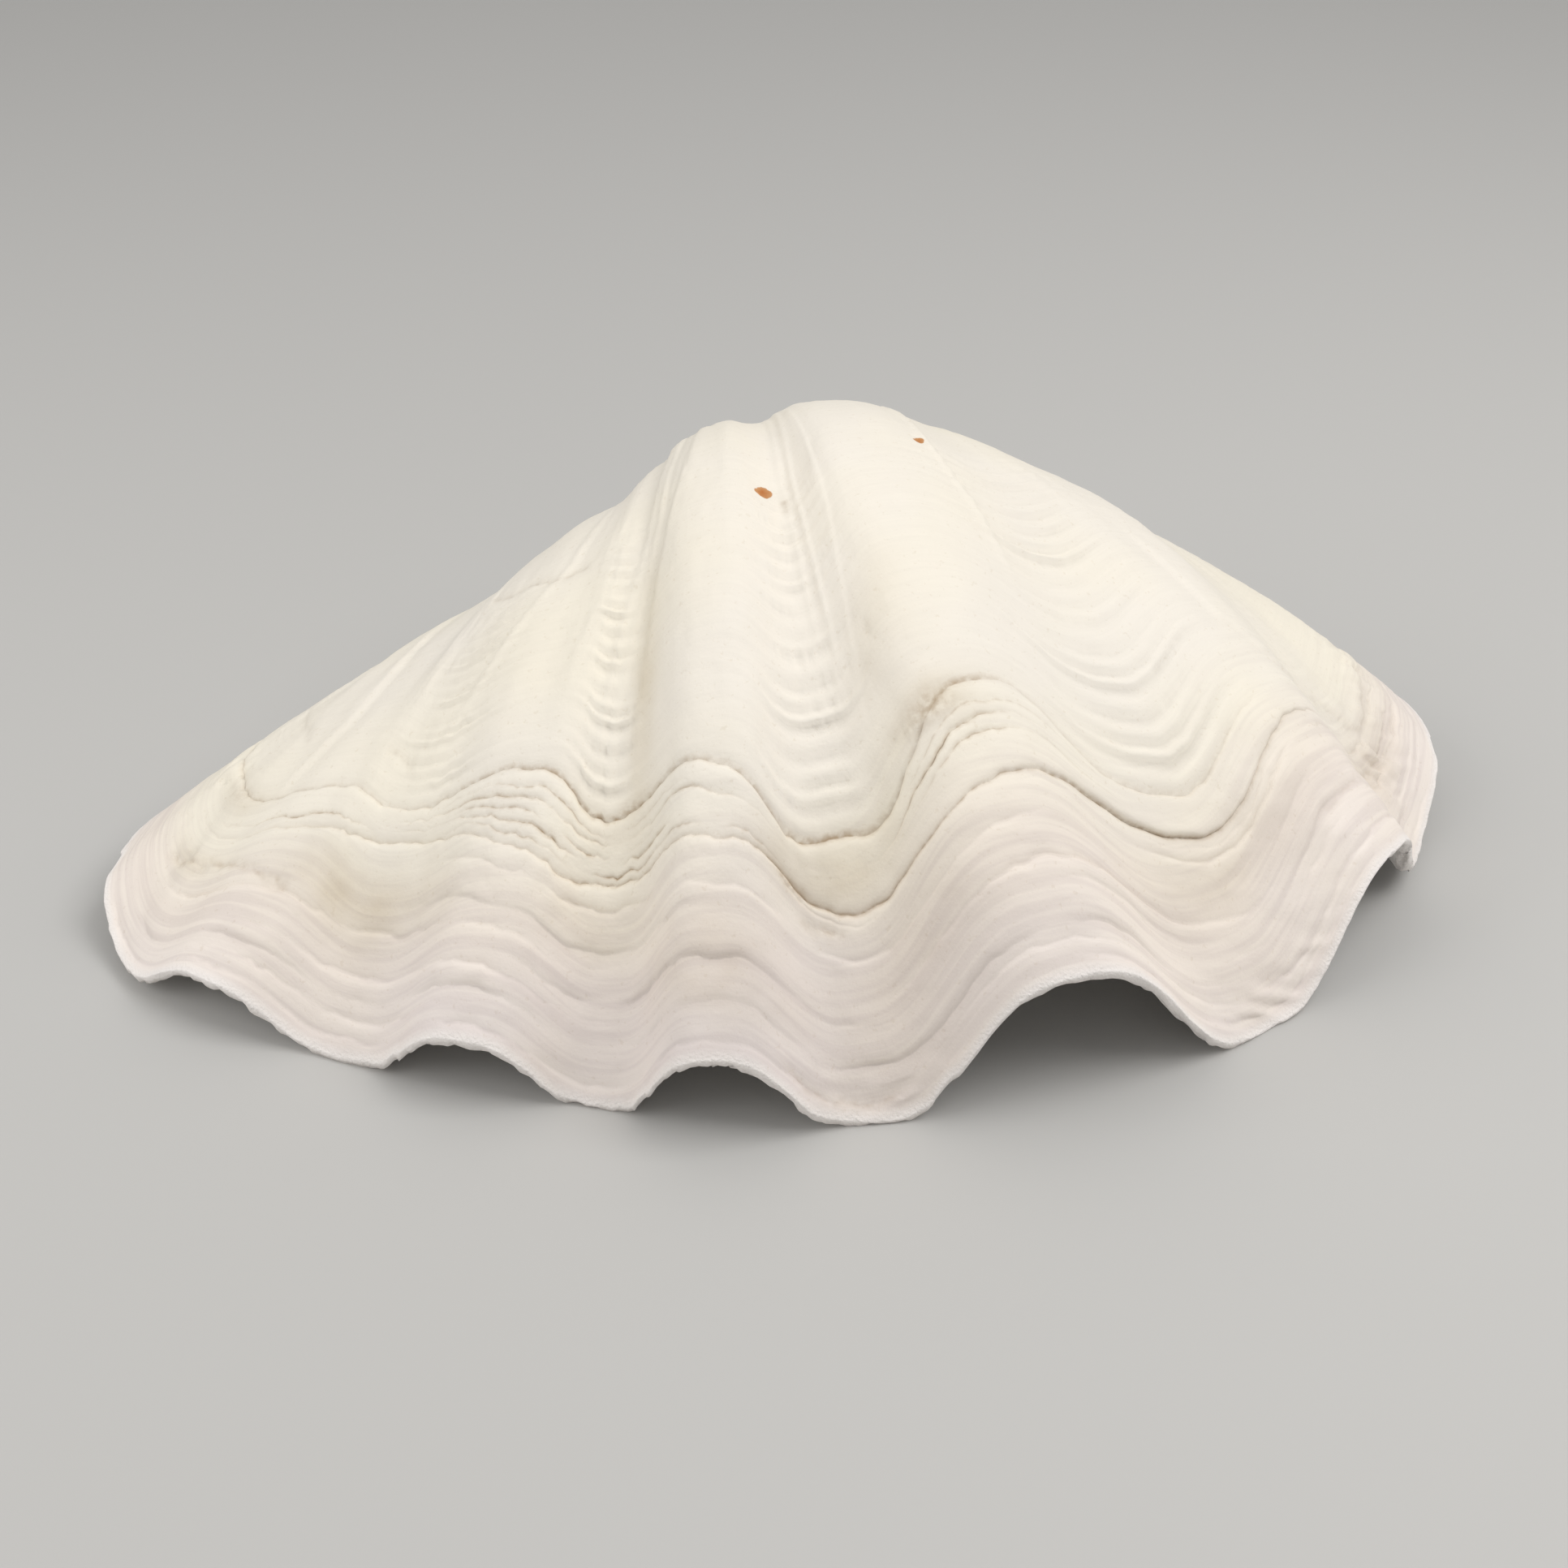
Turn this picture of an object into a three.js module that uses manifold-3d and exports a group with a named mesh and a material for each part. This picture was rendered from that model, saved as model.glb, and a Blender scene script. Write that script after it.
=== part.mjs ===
// Giant clam shell: one valve, lying hollow side down on its scalloped edge and its hinge.
// Millimetres, +Z up. The hinge is at the back (+Y) and the scalloped edge at the front (-Y).
// The origin is on the ground, below the middle of the shell's box.
import * as THREE from 'three';
import { mergeVertices } from 'three/addons/utils/BufferGeometryUtils.js';
import Module from 'manifold-3d';

// The beak, where growth began
const BEAK = new THREE.Vector3(1, 174, 30);

// The margin, anticlockwise seen from above, from the middle of the hinge. Each point has its place,
// the degrees that its growth line has coiled through since the beak, how far that line leans
// sideways on the way, the width of the edge there, how far the edge drops below that place, and
// whether it is the bottom of a furrow (1) or not (0).
const MARGIN = [
  { place: [1, 190, 14], turn: 80, lean: 0, edge: 30, drop: 16, furrow: 0 }, // middle of the hinge
  { place: [-109, 171, 13], turn: 90, lean: 0, edge: 26, drop: 15, furrow: 0 }, // left end of the hinge
  { place: [-214, 117, 14], turn: 80, lean: 0, edge: 15, drop: 8, furrow: 0 }, // left of the back
  { place: [-292, 64, 22], turn: 72, lean: 0, edge: 9, drop: 3, furrow: 0 }, // left shoulder
  { place: [-323, 2, 25], turn: 74, lean: 0, edge: 7, drop: 2, furrow: 0 }, // left end
  { place: [-313, -50, 9], turn: 82, lean: -4, edge: 7, drop: 2, furrow: 0 }, // first lobe
  { place: [-274, -85, 26], turn: 90, lean: 14, edge: 7, drop: 2, furrow: 0 }, // first rib
  { place: [-216, -120, 1.5], turn: 101, lean: -4, edge: 7, drop: 2, furrow: 1 }, // second lobe
  { place: [-165, -150, 33], turn: 105, lean: 8, edge: 7, drop: 2, furrow: 0 }, // second rib
  { place: [-110, -165, 0], turn: 118, lean: 0, edge: 7, drop: 2, furrow: 1 }, // third lobe
  { place: [-65, -189, 43], turn: 121, lean: 0, edge: 7, drop: 2, furrow: 0 }, // third rib
  { place: [4, -191, 0], turn: 122, lean: -12, edge: 7, drop: 2, furrow: 1 }, // fourth lobe
  { place: [84, -187, 67], turn: 124, lean: -28, edge: 7, drop: 2, furrow: 0 }, // fourth rib, the tallest
  { place: [178, -162, 0], turn: 129, lean: -22, edge: 7, drop: 2, furrow: 1 }, // fifth lobe
  { place: [250, -106, 50], turn: 120, lean: -18, edge: 7, drop: 2, furrow: 0 }, // fifth rib
  { place: [286, -63, 13], turn: 120, lean: 0, edge: 7, drop: 2, furrow: 0.5 }, // last lobe
  { place: [320, 8, 30], turn: 118, lean: 0, edge: 7, drop: 2, furrow: 0 }, // right end
  { place: [309, 72, 25], turn: 116, lean: 0, edge: 9, drop: 3, furrow: 0 }, // right shoulder
  { place: [241, 142, 14], turn: 112, lean: 0, edge: 15, drop: 8, furrow: 0 }, // right of the back
  { place: [121, 181, 13], turn: 100, lean: 0, edge: 26, drop: 15, furrow: 0 }, // right end of the hinge
];
const COLUMNS_PER_POINT = 7;
const COLUMNS = MARGIN.length * COLUMNS_PER_POINT;

// Curves through the margin's points, and a point's own weight against its two neighbours in the
// smooth course that the folds stand on
const CURVE_TENSION = 0.5;
const OWN_WEIGHT = 2;

// The folds deepen with this power of growth
const FOLD_GROWTH = 1.3;
// How fast they change at a rib, and at a furrow under the umbo and at the margin: slow
// makes them round and broad there, fast makes them narrow
const RIB_PACE = 0.2;
const FURROW_PACE = { umbo: 1.6, margin: 0.3 };
const FURROWS_OPEN = { from: 0.5, to: 0.95 };
// Makes the lean's course over growth, stage^3 (1 - stage), peak at one
const LEAN_SCALE = 256 / 27;

// Growth from the beak (0) to the margin (1), in spans parted by the two great growth halts. The span
// between them stands proud of the others by its rise.
const SPANS = [
  { from: 0.05, to: 0.842, bands: 13, rise: 0 },
  { from: 0.848, to: 0.884, bands: 2, rise: 4.5 },
  { from: 0.89, to: 1, bands: 5, rise: 0 },
];
// The rise fades out towards the hinge, where growth lines are this long
const RISE_FADES = { from: 120, to: 300 };

// The wall thins from the umbo, where the hollow's roof is, to the body, and then runs out to the edge
const UMBO_WALL = 27;
const BODY_WALL = 17;
const UMBO_STAGE = 0.34;
const BODY_STAGE = 0.8;
const EDGE_STAGE = 0.85;
const HOLLOW_BANDS = 9;
// The share of the folds that the hollow follows under the umbo
const INNER_FOLD = 0.4;
// How many margin points to each side the hollow's wall is evened over
const FOLDS_EVENED = 2;
// How far across the edge its lowest line runs
const EDGE_CROWN = 0.3;

// How much of the lobes and the hinge is worn flat where the shell stands
const WORN_FLAT = 2.5;
const GROUND_BLOCK = { width: 800, depth: 600, height: 60 };

// A small step for slopes
const STEP = 0.002;

const SHELL_COLOUR = 0xece6da;
const SHELL_ROUGHNESS = 0.62;

const { lerp, smoothstep, degToRad } = THREE.MathUtils;

function closedCurve(points) {
  return new THREE.CatmullRomCurve3(points, true, 'catmullrom', CURVE_TENSION);
}

// The margin parts into a smooth course and the folds on it
const places = MARGIN.map((point) => new THREE.Vector3(...point.place));
const courses = places.map((place, i) => {
  const before = places.at(i - 1);
  const after = places[(i + 1) % places.length];
  return before.clone().add(after).addScaledVector(place, OWN_WEIGHT).divideScalar(OWN_WEIGHT + 2);
});
const course = closedCurve(courses);
const folds = closedCurve(places.map((place, i) => place.clone().sub(courses[i])));
const habits = closedCurve(MARGIN.map(({ turn, lean }) => new THREE.Vector3(turn, lean, 0)));
const edges = closedCurve(MARGIN.map(({ edge, drop }) => new THREE.Vector3(edge, drop, 0)));

// Folds any share of the way round onto one turn
function wrap(around) {
  return around - Math.floor(around);
}

function foldPace(point, stage) {
  const { furrow } = MARGIN[point % MARGIN.length];
  const opened = smoothstep(stage, FURROWS_OPEN.from, FURROWS_OPEN.to);
  return lerp(RIB_PACE, lerp(FURROW_PACE.umbo, FURROW_PACE.margin, opened), furrow);
}

// The share of the margin whose fold stands here, eased so that folds linger at ribs and furrows
function foldPlace(turn, stage) {
  const left = Math.floor(turn * MARGIN.length);
  const t = turn * MARGIN.length - left;
  const start = foldPace(left, stage);
  const end = foldPace(left + 1, stage);
  const eased = ((start + end - 2) * t + 3 - 2 * start - end) * t * t + start * t;
  return wrap((left + eased) / MARGIN.length);
}

// A point of the coiled surface: around is the share of the margin, stage the share of growth
function coil(around, stage, foldShare) {
  const turn = wrap(around);
  const { x: degrees, y: lean } = habits.getPoint(turn);
  const fold = folds.getPoint(foldPlace(turn, stage)).multiplyScalar(foldShare * stage ** FOLD_GROWTH);
  const reach = course.getPoint(turn).add(fold).sub(BEAK);
  const radius = Math.hypot(reach.y, reach.z) * stage;
  const angle = Math.atan2(reach.z, -reach.y) + degToRad(degrees) * (1 - stage);
  const sideways = reach.x * stage + lean * LEAN_SCALE * stage ** 3 * (1 - stage);
  return new THREE.Vector3(sideways, -radius * Math.cos(angle), radius * Math.sin(angle)).add(BEAK);
}

// The direction out of the coiled surface
function outward(around, stage, foldShare) {
  const along = coil(around + STEP, stage, foldShare).sub(coil(around - STEP, stage, foldShare));
  const onward = coil(around, stage + STEP, foldShare).sub(coil(around, stage - STEP, foldShare));
  return onward.cross(along).normalize();
}

// The same, evened out over the folds on either side
function evenOutward(around, stage) {
  const sum = new THREE.Vector3();
  for (let point = -FOLDS_EVENED; point <= FOLDS_EVENED; point += 1) {
    sum.add(outward(around + point / MARGIN.length, stage, 0));
  }
  return sum.normalize();
}

// The outside, with the rise of its span
function outside(around, stage, span) {
  const growthLength = course.getPoint(around).distanceTo(BEAK);
  const rise = span.rise * smoothstep(growthLength, RISE_FADES.from, RISE_FADES.to);
  return coil(around, stage, 1).addScaledVector(outward(around, stage, 1), rise);
}

function wall(around, stage) {
  const body = lerp(UMBO_WALL, BODY_WALL, smoothstep(stage, UMBO_STAGE, BODY_STAGE));
  const edge = edges.getPoint(wrap(around)).x;
  return lerp(body, edge, smoothstep(stage, EDGE_STAGE, 1));
}

// The inside, smoother than the outside, running out level into the edge's foot
function inside(around, stage) {
  const foldShare = lerp(INNER_FOLD, 1, smoothstep(stage, UMBO_STAGE, 1));
  const nearEdge = smoothstep(stage, EDGE_STAGE, 1);
  const inward = evenOutward(around, stage).negate();
  inward.z *= 1 - nearEdge;
  const point = coil(around, stage, foldShare).addScaledVector(inward.normalize(), wall(around, stage));
  point.z -= nearEdge * edges.getPoint(wrap(around)).y;
  return point;
}

// The lowest line of the edge
function edgeFoot(around) {
  const foot = inside(around, 1);
  const height = foot.z;
  return foot.lerp(coil(around, 1, 1), 1 - EDGE_CROWN).setZ(height);
}

// One ring of points round the shell
function ring(pointAt) {
  return Array.from({ length: COLUMNS }, (_, column) => pointAt(column / COLUMNS));
}

// Even steps from one value to another, both included
function evenSteps(from, to, bands) {
  return Array.from({ length: bands + 1 }, (_, i) => lerp(from, to, i / bands));
}

function outsideRings() {
  return SPANS.flatMap((span) => {
    const stages = evenSteps(span.from, span.to, span.bands);
    return stages.map((stage) => ring((around) => outside(around, stage, span)));
  });
}

function insideRings() {
  const stages = evenSteps(1, UMBO_STAGE, HOLLOW_BANDS);
  return stages.map((stage) => ring((around) => inside(around, stage)));
}

function middle(points) {
  const sum = points.reduce((total, point) => total.add(point), new THREE.Vector3());
  return sum.divideScalar(points.length);
}

// A closed skin over the rings, from a first tip to a last one
function skin(firstTip, rings, lastTip) {
  const points = [firstTip, ...rings.flat(), lastTip];
  const last = points.length - 1;
  const at = (row, column) => 1 + row * COLUMNS + (column % COLUMNS);
  const faces = [];
  for (let column = 0; column < COLUMNS; column += 1) {
    faces.push(0, at(0, column), at(0, column + 1));
    for (let row = 0; row < rings.length - 1; row += 1) {
      faces.push(at(row, column), at(row + 1, column), at(row + 1, column + 1));
      faces.push(at(row, column), at(row + 1, column + 1), at(row, column + 1));
    }
    faces.push(at(rings.length - 1, column), last, at(rings.length - 1, column + 1));
  }
  const geometry = new THREE.BufferGeometry().setFromPoints(points);
  geometry.setIndex(faces);
  return geometry;
}

function shellSkin() {
  const innerRings = insideRings();
  const rings = [...outsideRings(), ring(edgeFoot), ...innerRings];
  return skin(BEAK.clone(), rings, middle(innerRings.at(-1)));
}

// The block of ground that wears the standing places flat
function groundBlock() {
  const { width, depth, height } = GROUND_BLOCK;
  return new THREE.BoxGeometry(width, depth, height).translate(0, 0, -height / 2);
}

const wasm = await Module();
wasm.setup();

function solidFrom(geometry) {
  const bare = geometry.clone();
  bare.deleteAttribute('normal');
  bare.deleteAttribute('uv');
  const merged = mergeVertices(bare);
  const vertProperties = new Float32Array(merged.attributes.position.array);
  const triVerts = new Uint32Array(merged.index.array);
  return new wasm.Manifold(new wasm.Mesh({ numProp: 3, vertProperties, triVerts }));
}

function geometryFrom(solid) {
  const mesh = solid.getMesh();
  const geometry = new THREE.BufferGeometry();
  geometry.setAttribute('position', new THREE.BufferAttribute(mesh.vertProperties, mesh.numProp));
  geometry.setIndex(new THREE.BufferAttribute(mesh.triVerts, 1));
  geometry.computeVertexNormals();
  return geometry;
}

const lowered = shellSkin().translate(0, 0, -WORN_FLAT);
const worn = solidFrom(lowered).subtract(solidFrom(groundBlock()));

const shellMaterial = new THREE.MeshStandardMaterial({
  color: SHELL_COLOUR,
  roughness: SHELL_ROUGHNESS,
  metalness: 0,
});
const valve = new THREE.Mesh(geometryFrom(worn), shellMaterial);
valve.name = 'valve';

const clamShell = new THREE.Group();
clamShell.add(valve);

export default clamShell;
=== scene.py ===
"""The looks of one giant clam valve, lying hollow side down on its scalloped edge and its hinge.

Metres, +Z up. The hinge is at the back (+Y) and the scalloped edge at the front (-Y). Shapes are worked
out in millimetres and scaled once, when the mesh is made.
"""
import math

import bpy
import numpy as np
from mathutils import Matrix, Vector


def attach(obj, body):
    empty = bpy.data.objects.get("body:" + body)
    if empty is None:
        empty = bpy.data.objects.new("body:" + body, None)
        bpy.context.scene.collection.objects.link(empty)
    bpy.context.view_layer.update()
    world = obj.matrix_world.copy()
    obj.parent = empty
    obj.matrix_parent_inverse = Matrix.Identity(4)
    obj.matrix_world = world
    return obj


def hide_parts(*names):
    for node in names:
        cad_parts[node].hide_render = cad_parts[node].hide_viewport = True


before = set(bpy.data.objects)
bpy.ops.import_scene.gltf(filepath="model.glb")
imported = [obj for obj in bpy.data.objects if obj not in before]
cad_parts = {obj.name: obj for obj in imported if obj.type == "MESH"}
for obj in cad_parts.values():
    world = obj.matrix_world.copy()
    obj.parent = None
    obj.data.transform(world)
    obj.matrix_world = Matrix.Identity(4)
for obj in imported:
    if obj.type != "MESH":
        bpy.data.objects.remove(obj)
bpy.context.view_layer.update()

MILLIMETRE = 0.001

# The beak, where growth began, and how much of the standing places is worn away
BEAK = np.array([1.0, 174.0, 30.0])
WORN_FLAT = 2.5

# The margin, anticlockwise seen from above, from the middle of the hinge: place, degrees coiled since
# the beak, sideways lean of the growth line, width of the edge, drop of the edge, and furrow (1) or rib (0)
MARGIN = [
    (1, 190, 14, 80, 0, 30, 16, 0.0),  # middle of the hinge
    (-109, 171, 13, 90, 0, 26, 15, 0.0),  # left end of the hinge
    (-214, 117, 14, 80, 0, 15, 8, 0.0),  # left of the back
    (-292, 64, 22, 72, 0, 9, 4, 0.0),  # left shoulder
    (-323, 2, 25, 74, 0, 7, 4, 0.0),  # left end
    (-313, -50, 9, 82, -4, 7, 4, 0.0),  # first lobe
    (-274, -85, 26, 90, 14, 7, 4, 0.0),  # first rib
    (-216, -120, 1.5, 101, -4, 7, 4, 1.0),  # second lobe
    (-165, -150, 33, 105, 8, 7, 4, 0.0),  # second rib
    (-110, -165, 0, 118, 0, 7, 4, 1.0),  # third lobe
    (-65, -189, 43, 121, 0, 7, 4, 0.0),  # third rib
    (4, -191, 0, 122, -12, 7, 4, 1.0),  # fourth lobe
    (84, -187, 67, 124, -28, 7, 4, 0.0),  # fourth rib, the tallest
    (178, -162, 0, 129, -22, 7, 4, 1.0),  # fifth lobe
    (250, -106, 50, 120, -18, 7, 4, 0.0),  # fifth rib
    (286, -63, 13, 120, 0, 7, 4, 0.5),  # last lobe
    (320, 8, 30, 118, 0, 7, 4, 0.0),  # right end
    (309, 72, 25, 116, 0, 9, 4, 0.0),  # right shoulder
    (241, 142, 14, 112, 0, 15, 8, 0.0),  # right of the back
    (121, 181, 13, 100, 0, 26, 15, 0.0),  # right end of the hinge
]
POINTS = len(MARGIN)
# The first and the last margin point of the front
FRONT = (4, 16)
# The columns of that list, and the smooth course that the folds stand on, with a point's own weight
# against its two neighbours
table = np.array(MARGIN, float)
PLACES = table[:, 0:3]
HABITS = table[:, 3:5]
EDGES = table[:, 5:7]
FURROWS = table[:, 7]
OWN_WEIGHT = 2
COURSES = np.roll(PLACES, 1, 0) + OWN_WEIGHT * PLACES + np.roll(PLACES, -1, 0)
COURSES /= OWN_WEIGHT + 2
FOLDS = PLACES - COURSES
# Makes the lean's course over growth, stage^3 (1 - stage), peak at one
LEAN_SCALE = 256 / 27

# The folds deepen with this power of growth
FOLD_GROWTH = 1.3
# How fast they change at a rib, and at a furrow under the umbo and at the margin: slow makes them round
# and broad there, fast makes them narrow
RIB_PACE = 0.2
UMBO_FURROW_PACE = 1.6
MARGIN_FURROW_PACE = 0.3
FURROWS_OPEN = (0.5, 0.95)

# The two great growth halts, from left to right: margin point, growth stage, depth, which side stands
# proud there (1 the younger plate, -1 the older lip), and dirt with painted shade in the crack
UPPER_HALT = [
    (3.0, 0.790, 0.0, 1, 0.0),
    (4.8, 0.795, 1.8, 1, 0.5),
    (5.5, 0.815, 1.3, 1, 0.3),
    (6.3, 0.815, 1.4, 1, 0.3),
    (7.0, 0.810, 0.9, 1, 0.2),
    (8.0, 0.815, 2.2, 1, 0.8),
    (8.8, 0.835, 2.0, 1, 1.0),
    (9.3, 0.830, 2.0, 1, 0.9),
    (10.0, 0.840, 1.8, 1, 0.5),
    (10.6, 0.860, 2.4, 1, 0.8),
    (11.0, 0.850, 2.4, 1, 1.0),
    (11.4, 0.865, 1.8, 1, 0.6),
    (11.6, 0.860, 0.9, 1, 0.3),
    (12.0, 0.835, 1.8, 1, 1.0),
    (12.4, 0.835, 0.7, 1, 0.1),
    (12.7, 0.855, 0.5, 1, 0.3),
    (13.3, 0.870, 1.0, 1, 0.3),
    (14.0, 0.865, 0.1, 1, 0.0),
    (15.0, 0.860, 0.0, 1, 0.0),
]
LOWER_HALT = [
    (4.4, 0.845, 0.0, 1, 0.0),
    (5.9, 0.860, 1.2, 1, 0.2),
    (6.4, 0.850, 1.6, 1, 0.3),
    (6.9, 0.835, 1.8, 1, 0.3),
    (7.4, 0.845, 1.3, 1, 0.3),
    (8.0, 0.875, 1.2, 1, 0.3),
    (8.5, 0.880, 1.4, 1, 0.6),
    (8.9, 0.870, 1.8, 1, 0.9),
    (9.8, 0.880, 1.2, 1, 0.3),
    (10.2, 0.885, 1.4, 1, 0.3),
    (10.5, 0.880, 2.2, 1, 0.9),
    (11.1, 0.895, 2.4, 1, 0.8),
    (11.7, 0.900, 1.0, 1, 0.7),
    (12.2, 0.890, 1.2, -1, 0.7),
    (12.7, 0.875, 2.2, -1, 1.0),
    (13.1, 0.890, 2.6, -1, 0.9),
    (13.5, 0.900, 1.9, -1, 0.4),
    (14.1, 0.885, 1.4, -1, 0.2),
    (14.5, 0.885, 0.0, -1, 0.0),
]
# The growth stage where raggedness is measured, and the least growth for one unit of stage that counts
LINE_STAGE = 0.86
SHORT_GROWTH = 450.0
# Columns to each side that a course is evened over
COURSE_EVENED = 5
HALT_JAG = 1.8
# Raggedness of a growth line, from coarse to fine: noise cells for each margin point, and share
JAGS = [(5, 0.5), (14, 0.4), (25, 0.2)]
# How far a growth line's groove reaches on its proud side and on the other, and the swell of the proud side
LIP_REACH = 0.9
HOLLOW_REACH = 3.0
SWELL_REACH = 5.0
SWELL_SHARE = 0.35
# How far the dirt and painted shade in a growth line's crack reach beside it
CRACK_REACH = 0.6

# The lesser growth lines between the halts, and from the lower halt to the margin: share of the way,
# depth, proud side, reach beside a halt's, and the stretches of margin points where the line shows
TERRACES = [
    (0.24, 0.5, 1, 0.5, [(7.6, 9.5), (11.8, 12.4)]),
    (0.40, 1.0, 1, 0.5, [(7.3, 10.4), (11.5, 12.5)]),
    (0.56, 0.5, 1, 0.4, [(7.5, 9.2), (11.8, 12.5)]),
    (0.70, 0.7, 1, 0.6, [(5.2, 6.4), (7.2, 9.9)]),
    (0.86, 0.5, 1, 0.5, [(7.6, 10.3)]),
]
MARGIN_LINES = [
    (0.05, 0.6, 1, 0.5, [(10.5, 11.4), (12.4, 13.6)]),
    (0.12, 0.9, 1, 0.6, [(7.4, 9.3), (12.8, 15.6)]),
    (0.22, 0.5, 1, 0.9, [(9.8, 12.2)]),
    (0.31, 0.7, -1, 1.4, [(7.4, 10.0), (13.4, 16.2)]),
    (0.43, 0.9, 1, 0.7, [(5.0, 8.4), (11.4, 13.2), (14.0, 16.0)]),
    (0.54, 0.9, -1, 1.6, [(8.2, 10.8), (12.2, 14.4)]),
    (0.63, 0.7, 1, 0.8, [(6.0, 8.8), (13.2, 15.8)]),
    (0.74, 0.8, -1, 1.5, [(4.6, 8.4), (9.4, 13.0), (14.6, 16.4)]),
    (0.82, 0.5, 1, 0.8, [(5.6, 7.6), (11.4, 15.2)]),
    (0.91, 0.7, 1, 1.5, [(4.4, 10.6), (12.0, 15.4)]),
]
LINE_FADE = 0.4
TERRACE_JAG = 1.6
MARGIN_LINE_JAG = 1.7
# The lesser lines' dirt with painted shade in their cracks, for the terraces and for the margin lines
TERRACE_DIRT_AND_SHADE = 0.6
MARGIN_LINE_DIRT_AND_SHADE = 0.0
# The lesser lines' mean strength along the margin, how much it varies, and noise cells for each margin point
LINE_STRENGTH = 0.85
LINE_PATCHINESS = 1.1
PATCH_CELLS = 3
# How much more ragged the lesser lines are, by margin point: most at the chunky right end
RAGGED_ENDS = [(4, 2.0), (5.5, 1.0), (13, 1.0), (14.3, 3.0), (16, 3.0), (17, 1.0)]
# The greatest raggedness of a lesser line beside the room it has between its neighbours
LINE_ROOM = 0.4
# Places of mesh rows between two growth lines, close to the lines
LINE_ROWS = (0.0, 0.10, 0.34, 0.66, 0.90)

# Short growth lines: depth, proud side, dirt with painted shade in the crack, and the course as (margin
# point, stage)
SCARS = [
    (1.2, 1, 0.3, [(6.6, 0.58), (7.4, 0.605), (7.7, 0.62), (8.1, 0.615)]),
    (0.9, 1, 0.5, [(10.6, 0.90), (11.0, 0.90)]),
    (1.2, 1, 0.4, [(4.5, 0.905), (4.8, 0.89), (5.2, 0.875), (5.8, 0.905), (6.2, 0.915)]),
    (0.9, 1, 0.35, [(10.4, 0.985), (11.2, 0.985)]),
    (1.2, -1, 0.1, [(14.5, 0.84), (14.9, 0.85), (15.1, 0.88), (15.3, 0.895), (15.6, 0.89), (15.9, 0.875)]),
    (1.2, 1, 0.2, [(13.7, 0.95), (14.2, 0.945), (14.6, 0.93), (14.9, 0.92), (15.1, 0.925)]),
    (1.0, -1, 0.1, [(4.3, 0.70), (5.0, 0.71), (5.3, 0.74)]),
    (0.8, 1, 0.2, [(6.3, 0.775), (6.6, 0.77), (6.9, 0.78)]),
]
SCAR_FADE = 0.12
SCAR_JAG = 2.2
SCAR_REACH = 2.0
SCAR_DIRT_AND_SHADE_REACH = 1.5

# Furrow ripples above the upper halt: how many, where they start and are full, and their height. Each
# climbs slowly, then drops off, over its mesh rows.
RIPPLES = 19
RIPPLE_START = 0.57
RIPPLES_FULL = 0.65
RIPPLE_HEIGHT = 1.8
RIPPLE_CLIMB = [(0.0, -0.4), (0.38, 0.1), (0.76, 0.6)]
RIPPLE_UNEVEN = 0.25
RIPPLE_STRENGTH = 0.85
RIPPLE_PATCHINESS = 0.6
# Where the ripples show: margin point, half-width in margin points, strength
RIPPLED_FURROWS = [(7.2, 0.4, 0.8), (8.78, 0.28, 1.1), (10.98, 0.38, 1.0), (13.1, 0.5, 1.1)]
RIB_SHARE_OF_RIPPLES = 0.07

# Riblets that run down the furrows: height, width, and the course as (stage, margin point)
RIBLETS = [
    (1.0, 2.2, [(0.44, 9.3), (0.62, 9.1), (0.70, 8.85), (0.77, 8.7), (0.82, 8.7)]),
    (0.7, 1.6, [(0.42, 11.3), (0.60, 11.15), (0.74, 11.25)]),
    (0.5, 1.6, [(0.42, 11.1), (0.60, 11.0), (0.74, 11.1)]),
    (1.1, 2.0, [(0.42, 12.7), (0.60, 12.6), (0.72, 12.7)]),
    (0.9, 2.4, [(0.50, 7.95), (0.60, 7.8), (0.67, 7.5), (0.76, 7.1)]),
]
# Steps down the furrows: height of the side with the greater margin points, reach, and the course
STEPS = [
    (-1.5, 7.0, [(0.40, 9.5), (0.52, 9.4), (0.62, 9.3), (0.70, 9.05), (0.77, 8.9), (0.82, 8.9)]),
    (1.3, 7.0, [(0.40, 9.8), (0.55, 9.65), (0.67, 9.3), (0.78, 9.1), (0.82, 9.1)]),
    (-0.6, 9.0, [(0.40, 11.45), (0.67, 11.5), (0.80, 11.4)]),
    (1.8, 14.0, [(0.70, 14.0), (0.80, 14.1), (0.84, 14.4), (0.86, 15.0), (0.88, 15.15)]),
    (-2.4, 16.0, [(0.52, 5.3), (0.64, 5.55), (0.73, 5.6), (0.80, 5.45)]),
]
STEP_WIDTH = 1.0
RIBLET_FADE = 0.03

# Unevenness of the whole outside: noise cells for each margin point, growth per cell, height
WEAR = [(3, 45.0, 0.6), (9, 14.0, 0.22), (24, 5.0, 0.08)]
EDGE_WEAR = 0.7
EDGE_CELLS = 17

# Pits and chips: margin point, growth stage, half-length along the margin, half-length of growth, depth
PITS = [
    (10.75, 0.61, 3.6, 2.8, 2.2),
    (12.55, 0.60, 2.6, 2.6, 1.8),
    (11.55, 0.775, 2.2, 2.2, 1.2),
    (10.95, 0.625, 2.2, 1.4, 0.8),
    (10.85, 0.64, 1.4, 1.2, 0.6),
    (7.45, 0.87, 7.0, 1.6, 1.0),
    (6.0, 0.915, 6.0, 2.2, 1.0),
    (10.6, 0.59, 2.0, 1.0, 0.5),
    (9.95, 0.70, 1.6, 1.2, 0.5),
    (11.95, 0.74, 2.0, 1.4, 0.5),
]
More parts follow.
